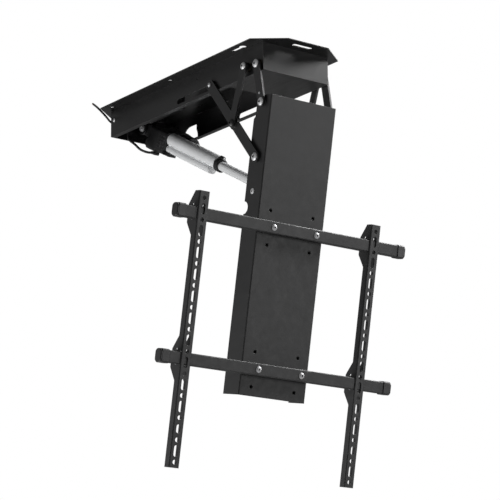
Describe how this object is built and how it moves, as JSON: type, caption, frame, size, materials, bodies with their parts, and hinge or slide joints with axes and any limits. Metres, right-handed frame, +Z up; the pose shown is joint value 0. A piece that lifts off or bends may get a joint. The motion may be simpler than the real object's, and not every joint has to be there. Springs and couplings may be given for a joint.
{
  "type": "motorised flip-down ceiling screen mount",
  "caption": "Motorised ceiling mount: a flat steel box with a linear actuator and bar linkage that folds a screen plate with cross bars and hook rails up under the ceiling.",
  "frame": {"origin": "centre of the box's length and width on the upper face of the ceiling plate, which lies against the ceiling", "axes": "+Z up towards the ceiling, -Y to the front where the lowered screen faces, +X across to the right as seen from the front"},
  "size_m": [0.5375, 0.602, 0.8125],
  "materials": {
    "black_steel": "fine matt black powder coat",
    "bright_steel": "bright zinc",
    "chromed_steel": "satin chrome",
    "silver_aluminium": "silver anodised",
    "black_plastic": "fine grain",
    "motor_paint": "satin black",
    "cord_rubber": "smooth jacket",
    "board": "solder mask",
    "brass": "machined"
  },
  "bodies": {
    "housing": {"ceiling_plate": "black_steel", "side_wall_left": "black_steel", "side_wall_right": "black_steel", "front_wall": "black_steel", "rear_wall": "black_steel", "actuator_bracket": "black_steel", "clevis_pin": "bright_steel", "control_box": "black_plastic", "control_box_cover": "black_plastic", "circuit_board": "board", "power_inlet": "black_plastic", "inner_leads": "cord_rubber", "antenna_grommet": "black_plastic", "antenna_lead": "cord_rubber", "motor_cable": "cord_rubber", "motor_cable_gland": "black_plastic", "box_screws": "bright_steel", "box_pivot_bolts": "bright_steel", "box_pivot_spacers": "black_steel"},
    "front_links": {"front_link_left": "black_steel", "front_link_right": "black_steel", "front_link_rivets": "bright_steel"},
    "mid_links": {"mid_link_left": "black_steel", "mid_link_right": "black_steel", "mid_pivot_bolts": "black_steel"},
    "long_links": {"long_link_left": "black_steel", "long_link_right": "black_steel", "long_link_bolts": "bright_steel"},
    "slider": {"slider_rollers": "black_plastic", "slider_washers": "bright_steel"},
    "screen_plate": {"tv_plate": "black_steel", "plate_inserts": "black_steel", "plate_pivot_bolts": "bright_steel", "plate_washers": "bright_steel", "cross_pin_screws": "bright_steel", "upper_bar": "black_steel", "lower_bar": "black_steel", "bar_end_caps": "black_plastic", "bar_screws": "bright_steel"},
    "rail_left": {"rail_left": "black_steel", "rail_left_screws": "bright_steel"},
    "rail_right": {"rail_right": "black_steel", "rail_right_screws": "bright_steel"},
    "actuator_barrel": {"actuator_tube": "silver_aluminium", "tube_end_cap": "black_plastic", "tube_plug": "silver_aluminium", "gear_housing": "black_plastic", "gear_cover": "black_plastic", "housing_screws": "bright_steel", "actuator_motor": "motor_paint", "screw_bearing": "bright_steel"},
    "actuator_rod": {"actuator_rod": "chromed_steel", "rod_end": "bright_steel", "cross_pin": "bright_steel", "drive_nut": "brass"},
    "lead_screw": {"lead_screw": "bright_steel", "screw_gear": "bright_steel"},
    "idler": {"idler_gear": "bright_steel"},
    "motor_shaft": {"motor_pinion": "bright_steel"}
  },
  "joints": [
    {"name": "front_links_swing", "type": "hinge", "parent": "housing", "child": "front_links", "pos_m": [0, -0.244, -0.0415], "axis": [1, 0, 0], "range_deg": [-49.97, 0]},
    {"name": "screen_plate_turn", "type": "hinge", "parent": "front_links", "child": "screen_plate", "pos_m": [0, -0.25873, -0.12097], "axis": [1, 0, 0], "range_deg": [0, 128.82]},
    {"name": "mid_links_swing", "type": "hinge", "parent": "housing", "child": "mid_links", "pos_m": [0, -0.213, -0.039], "axis": [1, 0, 0], "range_deg": [0, 55.72]},
    {"name": "long_links_swing", "type": "hinge", "parent": "mid_links", "child": "long_links", "pos_m": [0, -0.17312, -0.14163], "axis": [1, 0, 0], "range_deg": [-97.8, 0]},
    {"name": "slider_travel", "type": "slide", "parent": "housing", "child": "slider", "axis": [0, 1, 0], "range_m": [0, 0.11337]},
    {"name": "actuator_tilt", "type": "hinge", "parent": "housing", "child": "actuator_barrel", "pos_m": [0, 0.24, -0.03], "axis": [1, 0, 0], "range_deg": [-21.82, 0], "deforming": ["motor_cable"]},
    {"name": "rod_travel", "type": "slide", "parent": "actuator_barrel", "child": "actuator_rod", "axis": [0, -0.875, -0.4842], "range_m": [-0.14082, 0]},
    {"name": "lead_screw_spin", "type": "hinge", "parent": "actuator_barrel", "child": "lead_screw", "pos_m": [0, 0.24, -0.03], "axis": [0, -0.875, -0.4842], "range_deg": [0, 5069.38]},
    {"name": "idler_spin", "type": "hinge", "parent": "actuator_barrel", "child": "idler", "pos_m": [0.02, 0.24, -0.03], "axis": [0, -0.875, -0.4842], "range_deg": [-7604.07, 0]},
    {"name": "motor_spin", "type": "hinge", "parent": "actuator_barrel", "child": "motor_shaft", "pos_m": [0.036, 0.24, -0.03], "axis": [0, -0.875, -0.4842], "range_deg": [0, 7604.07]},
    {"name": "left_rail_shift", "type": "slide", "parent": "screen_plate", "child": "rail_left", "axis": [1, 0, 0], "range_m": [-0.022, 0.1]},
    {"name": "right_rail_shift", "type": "slide", "parent": "screen_plate", "child": "rail_right", "axis": [1, 0, 0], "range_m": [-0.09, 0.045]}
  ],
  "couplings": [
    {"joint": "screen_plate_turn", "follows": "front_links_swing", "ratio": -2.5768},
    {"joint": "mid_links_swing", "follows": "front_links_swing", "ratio": -1.1145},
    {"joint": "long_links_swing", "follows": "front_links_swing", "ratio": 1.9562},
    {"joint": "slider_travel", "follows": "front_links_swing", "m_per_rad": -0.12993},
    {"joint": "actuator_tilt", "follows": "front_links_swing", "ratio": 0.43638},
    {"joint": "rod_travel", "follows": "front_links_swing", "m_per_rad": 0.16138},
    {"joint": "lead_screw_spin", "follows": "front_links_swing", "ratio": -101.4},
    {"joint": "idler_spin", "follows": "front_links_swing", "ratio": 152.1},
    {"joint": "motor_spin", "follows": "front_links_swing", "ratio": -152.1}
  ]
}
